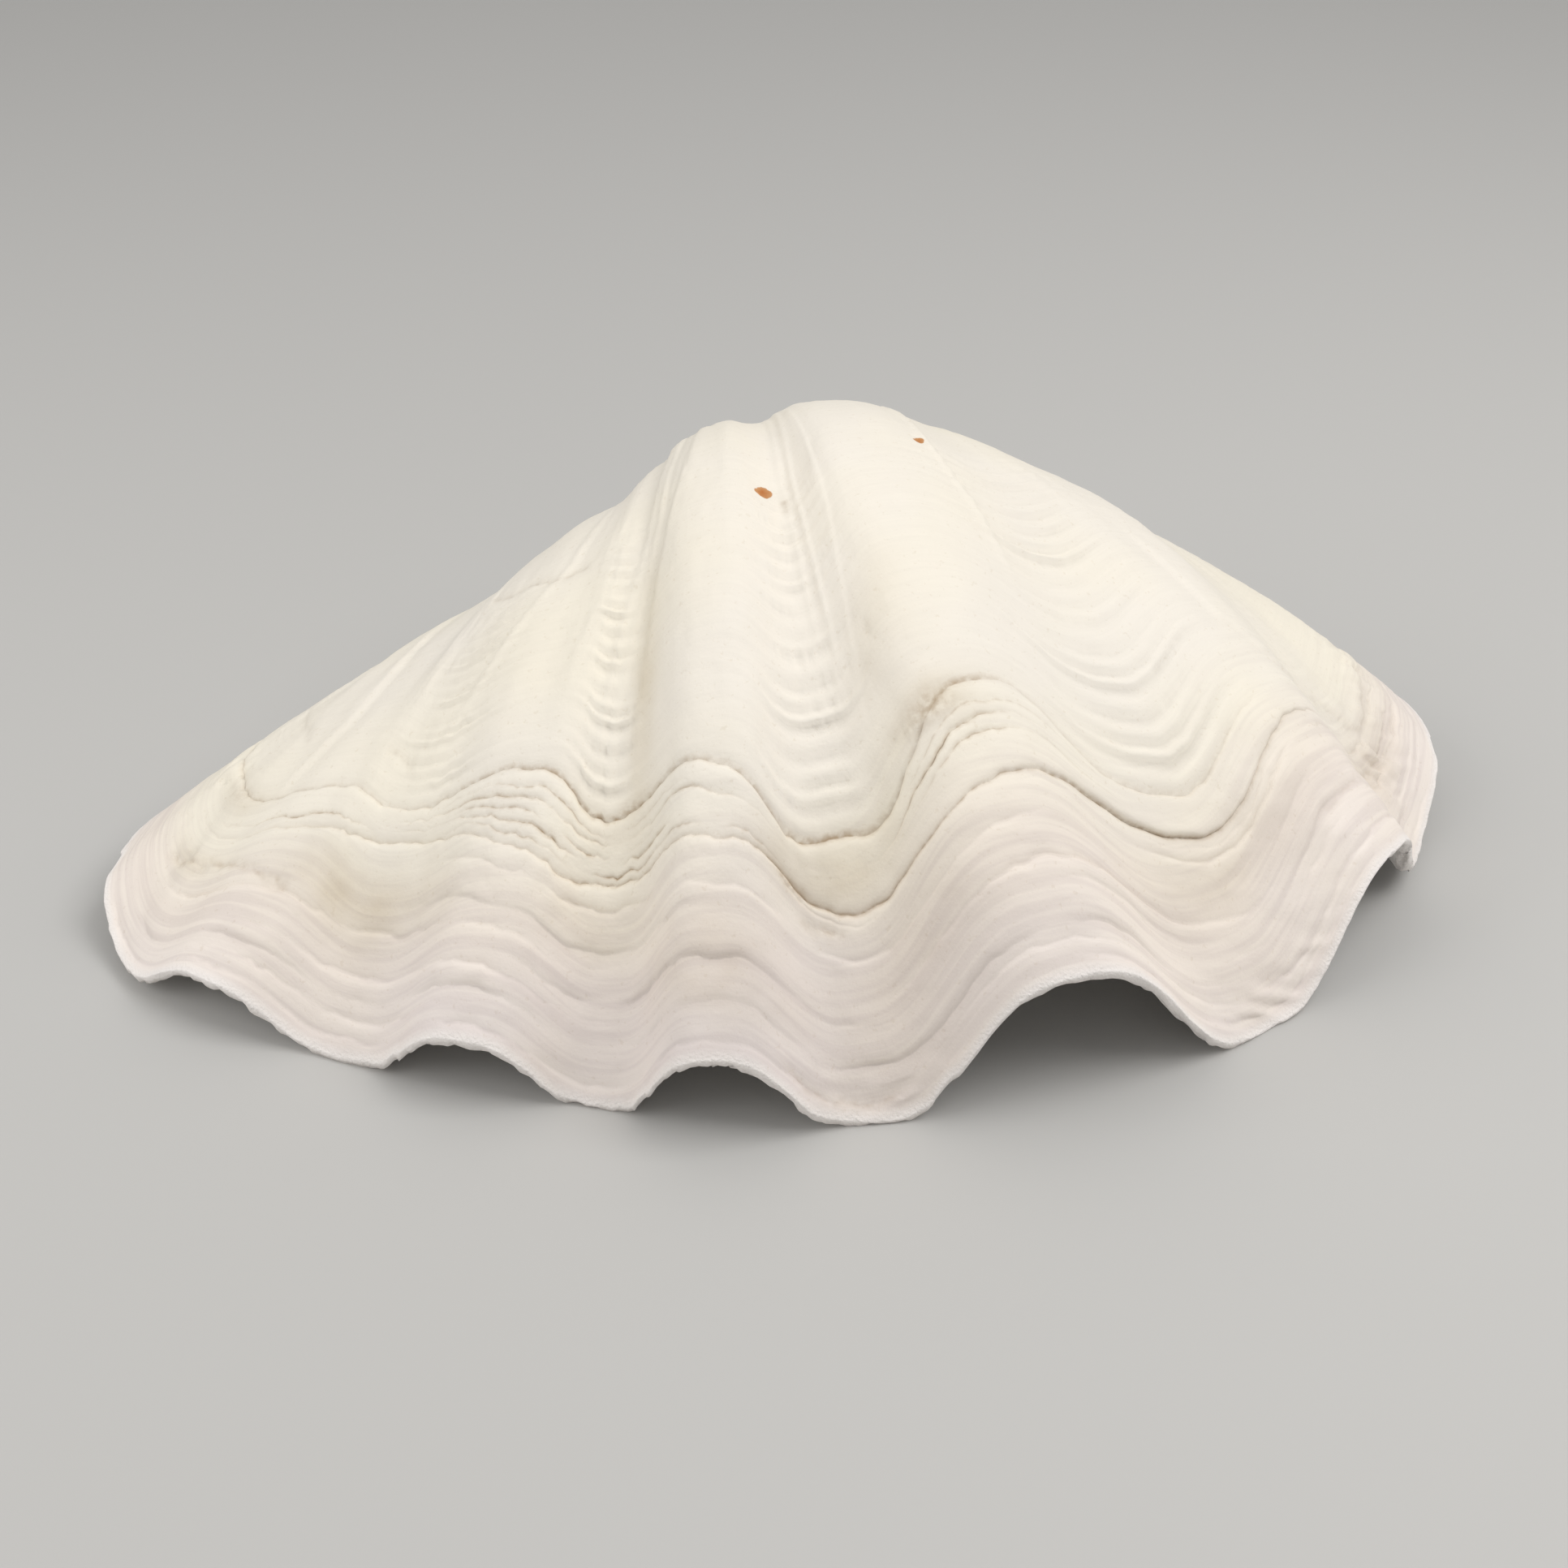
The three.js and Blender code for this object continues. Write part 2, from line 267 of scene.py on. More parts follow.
# Crusts and broken chunks: margin point, growth stage, half-width in margin points, half-length of growth,
# height. Their noise has this many cells for each margin point, this growth per cell, and this sharpness.
CRUSTS = [
    (4.9, 0.885, 0.45, 0.018, 1.6),
    (4.3, 0.81, 0.35, 0.03, 1.4),
    (11.75, 0.845, 0.22, 0.014, 0.8),
    (14.9, 0.86, 0.3, 0.02, 0.7),
    (15.3, 0.925, 0.4, 0.025, 2.0),
    (15.9, 0.87, 0.4, 0.03, 1.5),
    (13.1, 0.985, 0.35, 0.014, 1.1),
    (11.0, 0.985, 0.45, 0.012, 0.8),
]
CRUST_CELLS = 7
CRUST_CELL_GROWTH = 9.0
CRUST_SHARPNESS = 3.0
# Dirt in patches: margin point, growth stage, half-width in margin points, half-length of growth, strength
DIRT_PATCHES = [
    (11.8, 0.845, 0.16, 0.008, 0.65),
    (9.15, 0.83, 0.12, 0.004, 0.6),
    (10.6, 0.885, 0.12, 0.004, 0.7),
    (4.85, 0.805, 0.25, 0.010, 0.25),
    (11.0, 0.622, 0.05, 0.006, 0.5),
    (11.55, 0.775, 0.03, 0.003, 0.15),
]
# Stains: margin point, growth stage, half-width in margin points, half-length of growth, strength
STAINS = [
    (10.9, 0.874, 0.55, 0.020, 0.9),
    (6.8, 0.888, 0.75, 0.030, 1.0),
    (5.0, 0.815, 0.4, 0.016, 0.5),
    (4.9, 0.885, 0.4, 0.014, 0.5),
    (11.8, 0.840, 0.30, 0.012, 0.7),
    (8.9, 0.845, 0.30, 0.015, 0.4),
    (8.85, 0.900, 0.40, 0.018, 0.4),
    (13.1, 0.915, 0.55, 0.020, 0.4),
    (9.2, 0.76, 0.15, 0.090, 0.9),
    (11.3, 0.93, 0.5, 0.03, 0.3),
    (10.0, 0.955, 0.5, 0.030, 0.6),
    (15.1, 0.920, 0.5, 0.030, 0.5),
    (11.65, 0.780, 0.3, 0.050, 0.4),
]

# Torn thin layers: their strength away from the halts, the growth over which that comes in, the stretches
# of margin points where they show fully, and how they come in before the upper halt and end
LAYERS_EVERYWHERE = 0.03
LAYERS_SPREAD = (0.6, 0.8)
LAYERS_SHOW = [(7.5, 10.2)]
LAYERS_BEGIN = 0.01
LAYERS_END = (0.90, 0.94)

# Notches in the margin: margin point, half-width in margin points, depth. The power makes them flat inside.
NOTCH_POWER = 4
NOTCHES = [(3.9, 0.10, 4.0), (7.4, 0.05, 1.5), (9.35, 0.06, 2.0), (11.35, 0.06, 2.0), (15.9, 0.10, 3.0)]
# Where each lobe stands lowest, how fast its edge rises to either side of that, and how softly it meets
# the rest of the margin
LOBE_FEET = (5.0, 6.95, 8.97, 11.08, 13.05, 15.0)
LOBE_RISE = 35.0
LOBE_HALF_WIDTH = 0.45
EDGE_LIFT = 0.6
EDGE_SOFTNESS = 3.0
# The lowest growth stage where the margin may end, and how many stages are tried
LOWEST_MARGIN = 0.94
MARGIN_TRIALS = 241
# Raggedness of the margin on the ribs and on the lobes, and where one gives way to the other, in margin
# points from a lobe's foot
RIB_RAGGED = 0.5
LOBE_RAGGED = 1.4
LOBE_ENDS = (0.3, 0.7)
# How far across the edge its lowest line runs
EDGE_CROWN = 0.3
# Columns to each side that the margin is evened over for the growth lines, and the width of its pale rim
EDGE_EVENED = 9
RIM_WIDTH = 6.0

# The wall, from the umbo over the body to the edge
UMBO_WALL = 27.0
BODY_WALL = 17.0
UMBO_STAGE = 0.34
BODY_STAGE = 0.8
EDGE_STAGE = 0.85
# The share of the folds that the hollow follows under the umbo, and how many margin points to each side its
# wall is evened over
INNER_FOLD = 0.4
FOLDS_EVENED = 2

# Mesh rows of the plain part, the edge, the hollow and its roof, and mesh columns, fewer at the back
FIRST_STAGE = 0.05
PLAIN_ROWS = 22
EDGE_ROWS = 5
HOLLOW_ROWS = 15
ROOF_ROWS = 4
COLUMNS = 520
BACK_DENSITY = 0.25
# Steps for each margin point when the margin's length is measured
FINE_STEPS = 200

# Small steps of margin points and of growth, for slopes
AROUND_STEP = 0.044
STAGE_STEP = 0.002

# Noise: the first seed, the rows before its lattice repeats, and what each use adds to the seed
SEED = 17
NOISE_ROWS = 512
UPPER_HALT_SEED = 1
LOWER_HALT_SEED = 5
MARGIN_SEED = 5
RIPPLE_SEED = 61
WEAR_SEED = 70
EDGE_SEED = 80
CRUST_SEED = 90
TERRACE_SEED = 100
MARGIN_LINE_SEED = 200
SCAR_SEED = 300
SEEDS_PER_LINE = len(JAGS) + 1


def mix(first, second, share):
    return first + (second - first) * share


def smooth(value, start, stop):
    share = np.clip((value - start) / (stop - start), 0, 1)
    return share * share * (3 - 2 * share)


def closed_curve(values, around):
    """A smooth closed curve through rows of values, one row for each margin point."""
    left = np.floor(around).astype(int)
    t = (around - left)[..., None]
    before, here, after, beyond = (values[(left + i) % len(values)] for i in (-1, 0, 1, 2))
    start_slope = (after - before) / 2
    end_slope = (beyond - here) / 2
    cubic = 2 * (here - after) + start_slope + end_slope
    square = 3 * (after - here) - 2 * start_slope - end_slope
    return ((cubic * t + square) * t + start_slope) * t + here


def noise(around, per_point, other, seed):
    """Smooth noise between -1 and 1, on a lattice that closes round the margin."""
    shape = (POINTS * per_point, NOISE_ROWS)
    draws = np.random.default_rng(SEED + seed).uniform(-1, 1, shape)
    u = around * per_point
    left = np.floor(u).astype(int)
    low = np.floor(other).astype(int)
    across = smooth(u - left, 0, 1)
    up = smooth(other - low, 0, 1)

    def corner(i, j):
        return draws[(left + i) % shape[0], (low + j) % shape[1]]

    return mix(mix(corner(0, 0), corner(1, 0), across), mix(corner(0, 1), corner(1, 1), across), up)


def fold_pace(point, stage):
    """How fast the folds change at a margin point."""
    furrow_pace = mix(UMBO_FURROW_PACE, MARGIN_FURROW_PACE, smooth(stage, *FURROWS_OPEN))
    return mix(RIB_PACE, furrow_pace, FURROWS[point % POINTS])


def fold_place(around, stage):
    """The margin point whose fold stands here, eased so that folds linger at ribs and furrows."""
    left = np.floor(around).astype(int)
    t = around - left
    start = fold_pace(left, stage)
    end = fold_pace(left + 1, stage)
    return left + ((start + end - 2) * t + 3 - 2 * start - end) * t * t + start * t


def coil(around, stage, fold_share=1.0):
    """Points of the coiled surface: margin point, and growth from the beak (0) to the margin (1)."""
    around, stage = np.broadcast_arrays(around, stage)
    habits = closed_curve(HABITS, around)
    fold = closed_curve(FOLDS, fold_place(around, stage)) * (fold_share * stage**FOLD_GROWTH)[..., None]
    reach = closed_curve(COURSES, around) + fold - BEAK
    radius = np.hypot(reach[..., 1], reach[..., 2]) * stage
    angle = np.arctan2(reach[..., 2], -reach[..., 1]) + np.radians(habits[..., 0]) * (1 - stage)
    sideways = reach[..., 0] * stage + habits[..., 1] * LEAN_SCALE * stage**3 * (1 - stage)
    place = np.stack([sideways, -radius * np.cos(angle), radius * np.sin(angle)], -1)
    return place + BEAK - [0, 0, WORN_FLAT]


def slopes(around, stage, fold_share=1.0):
    """How the surface runs along the margin and onward with growth, for one unit of each."""
    along = coil(around + AROUND_STEP, stage, fold_share) - coil(around - AROUND_STEP, stage, fold_share)
    onward = coil(around, stage + STAGE_STEP, fold_share) - coil(around, stage - STAGE_STEP, fold_share)
    return along / (2 * AROUND_STEP), onward / (2 * STAGE_STEP)


def unit(vectors):
    return vectors / np.linalg.norm(vectors, axis=-1, keepdims=True)


def even_outward(around, stage):
    """The outward direction of the course without its folds, evened out over the neighbouring points."""
    total = 0
    for point in range(-FOLDS_EVENED, FOLDS_EVENED + 1):
        along, onward = slopes(around + point, stage, 0.0)
        total = total + unit(np.cross(onward, along))
    return unit(total)


def listed(points, around, column):
    """A column of a given list of points, in between its points."""
    places = [point[0] for point in points]
    return np.interp(around, places, [point[column] for point in points])


def jagged(around, reach, seed):
    """The ragged course of a growth line, in millimetres of growth."""
    level = np.zeros_like(around)
    course = np.zeros_like(around)
    for number, (cells, share) in enumerate(JAGS):
        course += share * noise(around, cells, level, seed + number)
    return reach * course


def step_profile(distance, depth, proud, reach_share):
    """Across a growth line, by millimetres of growth past it: a groove, and a swell on its proud side."""
    standing = np.where(distance > 0, proud, -proud) / 2 + 0.5
    reach = mix(HOLLOW_REACH, LIP_REACH, standing) * reach_share
    swell = np.abs(distance) / (SWELL_REACH * reach_share)
    return depth * (SWELL_SHARE * standing * swell * np.exp(1 - swell) - np.exp(-np.abs(distance) / reach))


def column_places():
    """Margin points of the mesh's columns, evenly spread along the edge, and sparser at the back."""
    fine = np.linspace(0, POINTS, POINTS * FINE_STEPS + 1)
    steps = np.linalg.norm(np.diff(coil(fine, np.ones_like(fine)), axis=0), axis=1)
    middle = (fine[1:] + fine[:-1]) / 2
    in_front = smooth(middle, FRONT[0] - 1, FRONT[0]) * (1 - smooth(middle, FRONT[1], FRONT[1] + 1))
    length = np.concatenate([[0], np.cumsum(steps * mix(BACK_DENSITY, 1, in_front))])
    return np.interp(np.arange(COLUMNS) / COLUMNS * length[-1], length, fine)


def margin_stage(around):
    """The growth stage where each column ends, at a notch or just above the ground."""
    pace = np.maximum(np.linalg.norm(slopes(around, np.ones_like(around))[1], axis=-1), SHORT_GROWTH)
    from_foot = np.min([np.abs(around - foot) for foot in LOBE_FEET], axis=0)
    ragged = mix(LOBE_RAGGED, RIB_RAGGED, smooth(from_foot, *LOBE_ENDS))
    notch = np.abs(jagged(around, 1.0, MARGIN_SEED)) * ragged
    for place, half_width, depth in NOTCHES:
        notch = notch + depth * np.exp(-(((around - place) / half_width) ** NOTCH_POWER))
    lift = EDGE_LIFT + LOBE_RISE * from_foot**2 * (from_foot < LOBE_HALF_WIDTH)
    stages = np.linspace(LOWEST_MARGIN, 1, MARGIN_TRIALS)
    heights = coil(around[None, :], stages[:, None])[..., 2]
    clear = np.where(heights > lift, stages[:, None], 0).max(0)
    clear = np.maximum(clear, stages[0])
    softness = EDGE_SOFTNESS / pace
    whole = -softness * np.log(np.exp(-clear / softness) + np.exp(-1 / softness))
    return whole - notch / pace


def evened(values, reach):
    """Values of the columns, evened out over their neighbours."""
    total = np.zeros_like(values)
    for shift in range(-reach, reach + 1):
        total += np.roll(values, shift)
    return total / (2 * reach + 1)


around = column_places()
margin_end = margin_stage(around)
line_slopes = slopes(around, np.full_like(around, LINE_STAGE))[1]
front_pace = np.maximum(np.linalg.norm(line_slopes, axis=-1), SHORT_GROWTH)


class GrowthLine:
    """A growth line round the shell: its growth stage, depth, proud side, and dirt with painted shade in its
    crack, in each column.
    """

    def __init__(self, stage, depth, proud, dirt_and_crack_shade, reach_share):
        self.stage = stage
        self.depth = depth
        self.proud = proud
        self.dirt_and_crack_shade = dirt_and_crack_shade
        self.reach_share = reach_share


def halt_line(halt, seed):
    """A great growth halt, from its list of points."""
    columns = (evened(listed(halt, around, column), COURSE_EVENED) for column in (1, 2, 3, 4))
    course, depth, proud, dirt_and_crack_shade = columns
    return GrowthLine(course + jagged(around, HALT_JAG, seed) / front_pace, depth, proud, dirt_and_crack_shade, 1.0)


def in_stretches(stretches):
    """How fully each column lies in stretches of margin points."""
    total = np.zeros_like(around)
    for first, last in stretches:
        begun = smooth(around, first - LINE_FADE, first + LINE_FADE)
        ended = smooth(around, last - LINE_FADE, last + LINE_FADE)
        total += begun * (1 - ended)
    return total


def lesser_lines(lines, start, stop, jag, dirt_and_crack_shade, seed):
    """The growth lines between two stages, patchy along the margin."""
    made = []
    room = LINE_ROOM * (stop - start) * front_pace / len(lines)
    ragged = np.minimum(jag * listed(RAGGED_ENDS, around, 1), room)
    for number, (share, depth, proud, reach_share, stretches) in enumerate(lines):
        line_seed = seed + SEEDS_PER_LINE * number
        stage = mix(start, stop, share) + jagged(around, ragged, line_seed) / front_pace
        patches = noise(around, PATCH_CELLS, np.zeros_like(around), line_seed + len(JAGS))
        patchy = np.clip(LINE_STRENGTH + LINE_PATCHINESS * patches, 0, None)
        shown = in_stretches(stretches) * patchy
        made.append(GrowthLine(stage, depth * shown, proud, dirt_and_crack_shade * shown, reach_share))
    return made


upper_halt = halt_line(UPPER_HALT, UPPER_HALT_SEED)
lower_halt = halt_line(LOWER_HALT, LOWER_HALT_SEED)
terraces = lesser_lines(
    TERRACES, upper_halt.stage, lower_halt.stage, TERRACE_JAG, TERRACE_DIRT_AND_SHADE, TERRACE_SEED
)
even_end = evened(margin_end, EDGE_EVENED)
margin_lines = lesser_lines(
    MARGIN_LINES, lower_halt.stage, even_end, MARGIN_LINE_JAG, MARGIN_LINE_DIRT_AND_SHADE, MARGIN_LINE_SEED
)
growth_lines = [upper_halt, *terraces, lower_halt, *margin_lines]

# Growth stages between the furrow ripples, unevenly spread
ripple_shifts = np.random.default_rng(SEED).uniform(-RIPPLE_UNEVEN, RIPPLE_UNEVEN, RIPPLES + 1)
ripple_shifts[[0, -1]] = 0
ripple_shares = (np.arange(RIPPLES + 1) + ripple_shifts) / RIPPLES


def growth_rows():
    """Growth stages of the outside's mesh rows, which follow the ripples and the growth lines exactly."""
    plain = np.linspace(FIRST_STAGE, RIPPLE_START, PLAIN_ROWS, endpoint=False)
    rows = [np.full(COLUMNS, stage) for stage in plain]
    for first, second in zip(ripple_shares[:-1], ripple_shares[1:]):
        for step, _ in RIPPLE_CLIMB:
            rows.append(mix(RIPPLE_START, upper_halt.stage, mix(first, second, step)))
    stages = [line.stage for line in growth_lines] + [margin_end]
    for first, second in zip(stages[:-1], stages[1:]):
        rows += [mix(first, second, share) for share in LINE_ROWS]
    rows.append(margin_end)
    return np.array(rows)


def line_relief(stage, pace):
    """Height of the halts and of the lesser growth lines, and their dirt with painted shade in the cracks.
    """
    height = np.zeros_like(stage)
    dirt_and_crack_shade = np.zeros_like(stage)
    for line in growth_lines:
        distance = (stage - line.stage) * pace
        height += step_profile(distance, line.depth, line.proud, line.reach_share)
        # Brown dirt and painted shade, darkest in the crack of each line
        dirt_and_crack_shade = np.maximum(dirt_and_crack_shade, line.dirt_and_crack_shade * np.exp(-np.abs(distance) / CRACK_REACH))
    for depth, proud, scar_dirt_and_shade, course in SCARS:
        places = [point[0] for point in course]
        begun = smooth(around, places[0], places[0] + SCAR_FADE)
        ended = smooth(around, places[-1] - SCAR_FADE, places[-1])
        shown = begun * (1 - ended)
        distance = (stage - listed(course, around, 1)) * pace + jagged(around, SCAR_JAG, SCAR_SEED)
        height += step_profile(distance, depth * shown, proud, SCAR_REACH)
        dirt_and_crack_shade = np.maximum(dirt_and_crack_shade, scar_dirt_and_shade * shown * np.exp(-np.abs(distance) / SCAR_DIRT_AND_SHADE_REACH))
    return height, dirt_and_crack_shade


def ripple_relief(place, stage):
    """Arched ripples that follow growth, strong in the furrows and faint on the ribs."""
    strength = np.full_like(stage, RIB_SHARE_OF_RIPPLES)
    for middle, half_width, share in RIPPLED_FURROWS:
        strength += share * np.exp(-(((place - middle) / half_width) ** 2))
    share = (stage - RIPPLE_START) / (upper_halt.stage - RIPPLE_START)
    turns = np.interp(share, ripple_shares, np.arange(RIPPLES + 1))
    climb = [*RIPPLE_CLIMB, (1.0, RIPPLE_CLIMB[0][1])]
    wave = np.interp(turns % 1, [point[0] for point in climb], [point[1] for point in climb])
    patches = noise(place, PATCH_CELLS, np.floor(turns), RIPPLE_SEED)
    wave *= np.clip(RIPPLE_STRENGTH + RIPPLE_PATCHINESS * patches, 0, None)
    rise = smooth(stage, RIPPLE_START, RIPPLES_FULL)
    return RIPPLE_HEIGHT * strength * rise * wave * (share < 1)


def along_course(course, place, stage, width_per_point):
    """Millimetres sideways from a course down the shell, and how fully it has begun and not yet ended."""
    stages = [point[0] for point in course]
    middle = np.interp(stage, stages, [point[1] for point in course])
    begun = smooth(stage, stages[0] - RIBLET_FADE, stages[0] + RIBLET_FADE)
    ended = smooth(stage, stages[-1] - RIBLET_FADE, stages[-1] + RIBLET_FADE)
    return (place - middle) * width_per_point, begun * (1 - ended)


def riblet_relief(place, stage, along):
    """Fine ribs, grooves and steps that run down the shell from the umbo."""
    height = np.zeros_like(stage)
    width_per_point = np.linalg.norm(along, axis=-1)
    for rise, width, course in RIBLETS:
        distance, shown = along_course(course, place, stage, width_per_point)
        height += rise * shown * np.exp(-((distance / width) ** 2))
    for rise, reach, course in STEPS:
        distance, shown = along_course(course, place, stage, width_per_point)
        height += rise * shown * np.tanh(distance / STEP_WIDTH) * np.exp(-np.abs(distance) / reach) / 2
    return height


def spots(listed_spots, place, stage, along_size, growth_size):
    """The sum of soft round spots: margin point, growth stage, half-widths, strength."""
    total = np.zeros_like(stage)
    for middle, level, half_width, half_length, strength in listed_spots:
        across = (place - middle) * along_size / half_width
        onward = (stage - level) * growth_size / half_length
        total += strength * np.exp(-(across**2 + onward**2))
    return total


def wear_relief(place, stage, pace):
    """The unevenness of the whole outside."""
    height = np.zeros_like(stage)
    for number, (per_point, cell, rise) in enumerate(WEAR):
        height += rise * noise(place, per_point, stage * pace / cell, WEAR_SEED + number)
    return height


def outside():
    """The outside's points, with their growth stages, the relief's depth for painted shade in its grooves,
    dirt with painted shade in the cracks, and stains.
    """
    stage = growth_rows()
    place = np.broadcast_to(around, stage.shape)
    along, onward = slopes(place, stage)
    pace = np.linalg.norm(onward, axis=-1)
    lines, dirt_and_crack_shade = line_relief(stage, pace)
    relief = lines + ripple_relief(place, stage) + riblet_relief(place, stage, along)
    dents = spots(PITS, place, stage, np.linalg.norm(along, axis=-1), pace)
    chunks = noise(place, CRUST_CELLS, stage * pace / CRUST_CELL_GROWTH, CRUST_SEED)
    crust = np.tanh(CRUST_SHARPNESS * chunks) * spots(CRUSTS, place, stage, 1.0, 1.0)
    dirt_and_crack_shade = np.maximum(dirt_and_crack_shade, spots(DIRT_PATCHES, place, stage, 1.0, 1.0))
    height = relief + wear_relief(place, stage, pace) + crust - dents
    points = coil(place, stage) + unit(np.cross(onward, along)) * height[..., None]
    stain = spots(STAINS, place, stage, 1.0, 1.0)
    begun = smooth(stage, upper_halt.stage - LAYERS_BEGIN, upper_halt.stage)
    between_halts = begun * (1 - smooth(stage, *LAYERS_END))
    layers = LAYERS_EVERYWHERE * smooth(stage, *LAYERS_SPREAD) + in_stretches(LAYERS_SHOW) * between_halts
    rim = smooth((stage - margin_end) * pace, -RIM_WIDTH, 0)
    return points, {
        "growth": stage, "painted_shade_depth": relief + crust, "dirt_and_crack_shade": dirt_and_crack_shade, "stain": stain, "layers": layers, "rim": rim
    }


def wall(place, stage):
    """The thickness of the wall, from the umbo to the edge."""
    body = mix(UMBO_WALL, BODY_WALL, smooth(stage, UMBO_STAGE, BODY_STAGE))
    edge = closed_curve(EDGES, place)[..., 0]
    return mix(body, edge, smooth(stage, EDGE_STAGE, 1))


def inside(place, stage):
    """The smoother inside, running out level into the edge's foot."""
    fold_share = mix(INNER_FOLD, 1, smooth(stage, UMBO_STAGE, 1))
    near_edge = smooth(stage, EDGE_STAGE, 1)
    inward = -even_outward(place, stage)
    inward[..., 2] *= 1 - near_edge
    points = coil(place, stage, fold_share) + unit(inward) * wall(place, stage)[..., None]
    points[..., 2] -= near_edge * closed_curve(EDGES, place)[..., 1]
    return points


def hollow():
    """The rows of the inside, from the edge to the roof under the umbo, and their growth stages."""
    share = np.linspace(0, 1, HOLLOW_ROWS)[:, None]
    stage = mix(margin_end, UMBO_STAGE, share)
    place = np.broadcast_to(around, stage.shape)
    points = inside(place, stage)
    centre = points[-1].mean(0)
    roof_share = (np.arange(1, ROOF_ROWS) / ROOF_ROWS)[:, None, None]
    roof = mix(points[-1], centre, roof_share)
    roof_stage = np.full(roof.shape[:2], UMBO_STAGE)
    return np.concatenate([points, roof]), np.concatenate([stage, roof_stage]), centre


def edge_between(outer, inner):
    """The rounded edge, whose foot is near its outer side."""
    share = (np.arange(1, EDGE_ROWS) / EDGE_ROWS)[:, None]
    points = mix(outer, inner, share[..., None])
    drop = (1 - np.clip(share / EDGE_CROWN, 0, 1)) ** 2
    points[..., 2] = mix(inner[:, 2], outer[:, 2], drop)
    points += EDGE_WEAR * noise(around, EDGE_CELLS, share * EDGE_ROWS, EDGE_SEED)[..., None]
    return points


def stand(rings):
    """Rows that would lie below the ground, spread over the flat where each column stands on it."""
    below = rings[..., 2] < 0
    for column in np.flatnonzero(below.any(0)):
        sunk = np.flatnonzero(below[:, column])
        first = sunk[0]
        last = sunk[-1]
        ends = []
        for low_row, high_row in ((first, first - 1), (last, last + 1)):
            low = rings[low_row, column]
            high = rings[high_row, column]
            ends.append(mix(low, high, low[2] / (low[2] - high[2])))
        share = np.linspace(0, 1, last + 1 - first)[:, None]
        rings[first:last + 1, column] = mix(*ends, share)
        rings[first:last + 1, column, 2] = 0


def build_valve():
    """One closed mesh: beak, outside, edge, hollow and its roof."""
    outer, marks = outside()
    inner, inner_stage, roof_centre = hollow()
    edge = edge_between(outer[-1], inner[0])
    rings = np.concatenate([outer, edge, inner])
    stand(rings)
    beak = BEAK - [0, 0, WORN_FLAT]
    points = np.concatenate([[beak], rings.reshape(-1, 3), [roof_centre]])

    rows = len(rings)
    column = np.arange(COLUMNS)
    next_column = (column + 1) % COLUMNS
    quads = []
    for row in range(rows - 1):
        here = 1 + row * COLUMNS
        there = here + COLUMNS
        quads.append(np.stack([here + column, there + column, there + next_column, here + next_column], 1))
    faces = np.concatenate(quads).tolist()
    last_row = 1 + (rows - 1) * COLUMNS
    last = len(points) - 1
    faces += np.stack([np.zeros(COLUMNS, int), 1 + column, 1 + next_column], 1).tolist()
    faces += np.stack([last_row + column, np.full(COLUMNS, last), last_row + next_column], 1).tolist()

    mesh = bpy.data.meshes.new("valve_skin")
    mesh.from_pydata((points * MILLIMETRE).tolist(), [], faces)
    mesh.polygons.foreach_set("use_smooth", np.ones(len(mesh.polygons), bool))

    beyond = (rows - len(outer), COLUMNS)
    layers = {name: np.concatenate([values, np.zeros(beyond)]) for name, values in marks.items()}
    layers["growth"][len(outer):-len(inner)] = 1
    layers["growth"][-len(inner):] = inner_stage
    layers["hollow"] = np.zeros((rows, COLUMNS))
    layers["hollow"][-len(inner):] = 1
    layers["rim"][len(outer):-len(inner)] = 1
    for name, values in layers.items():
        ends = np.concatenate([[0], values.ravel(), [values[-1, 0]]])
        mesh.attributes.new(name, "FLOAT", "POINT").data.foreach_set("value", ends)
    valve = bpy.data.objects.new("clam_valve", mesh)
    bpy.context.collection.objects.link(valve)
    return valve


def node(tree, kind, inputs=None, **settings):
    """A shader node with its settings, and with values or other nodes' outputs on its inputs."""
    made = tree.nodes.new(kind)
    for name, value in settings.items():
        setattr(made, name, value)
    for name, value in (inputs or {}).items():
        if isinstance(value, bpy.types.NodeSocket):
            tree.links.new(value, made.inputs[name])
        else:
            made.inputs[name].default_value = value
    return made


def attribute(tree, name):
    return node(tree, "ShaderNodeAttribute", attribute_name=name).outputs["Fac"]


def mix_colour(tree, share, first, second, blend="MIX"):
    made = node(tree, "ShaderNodeMix", data_type="RGBA", blend_type=blend)
    for socket, value in zip(("Factor_Float", "A_Color", "B_Color"), (share, first, second)):
        target = next(item for item in made.inputs if item.identifier == socket)
        if isinstance(value, bpy.types.NodeSocket):
            tree.links.new(value, target)
        else:
            target.default_value = value
    return next(item for item in made.outputs if item.identifier == "Result_Color")


def ramp(tree, value, stops):
    """A colour ramp with (place, colour) stops."""
    made = node(tree, "ShaderNodeValToRGB", {"Fac": value})
    elements = made.color_ramp.elements
    while len(elements) < len(stops):
        elements.new(1.0)
    for element, (place, colour) in zip(elements, stops):
        element.position = place
        element.color = colour
    return made.outputs["Color"]


def grey(value):
    return (value, value, value, 1.0)


